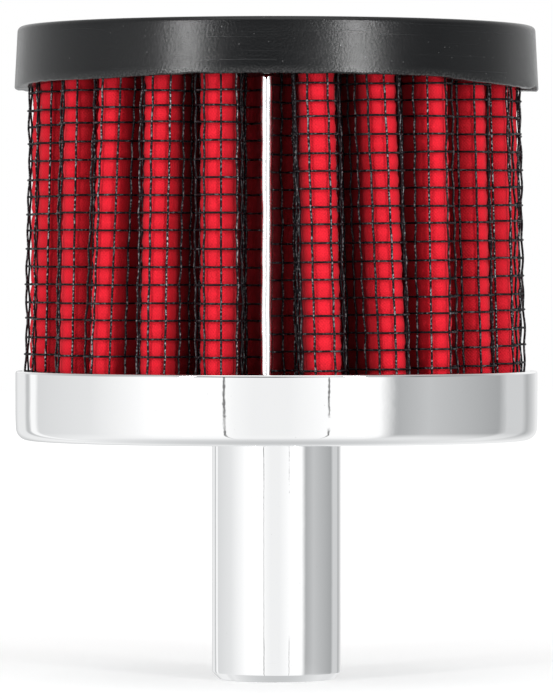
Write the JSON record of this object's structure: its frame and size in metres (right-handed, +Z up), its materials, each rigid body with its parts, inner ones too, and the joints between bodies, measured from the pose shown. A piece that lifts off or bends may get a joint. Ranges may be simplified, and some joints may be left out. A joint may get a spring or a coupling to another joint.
{
  "type": "crankcase breather filter",
  "caption": "Round pleated-gauze crankcase breather filter with wire screens, a moulded black cap and a chromed cup on a hollow push-in stub.",
  "frame": {"origin": "on the stub's axis at the underside of the cup, where the stub leaves it", "axes": "+Z up through the element to the cap, -Z down the stub, -Y towards the front of the picture, with the seam clip there"},
  "size_m": [0.0516, 0.0516, 0.0644],
  "materials": {
    "cap_urethane": "satin moulded urethane",
    "potting_urethane": "cured potting",
    "oiled_gauze": "oiled cotton gauze",
    "coated_wire": "dark epoxy coat on woven wire",
    "clip_strip": "bright folded strip",
    "plated_steel": "bright plating"
  },
  "bodies": {
    "root": {"top_cap": "cap_urethane", "filter_media": "oiled_gauze", "outer_screen": "coated_wire", "inner_screen": "coated_wire", "seam_clip": "clip_strip", "potting_ring": "potting_urethane", "base_cup": "plated_steel", "stub_tube": "plated_steel"}
  },
  "joints": []
}
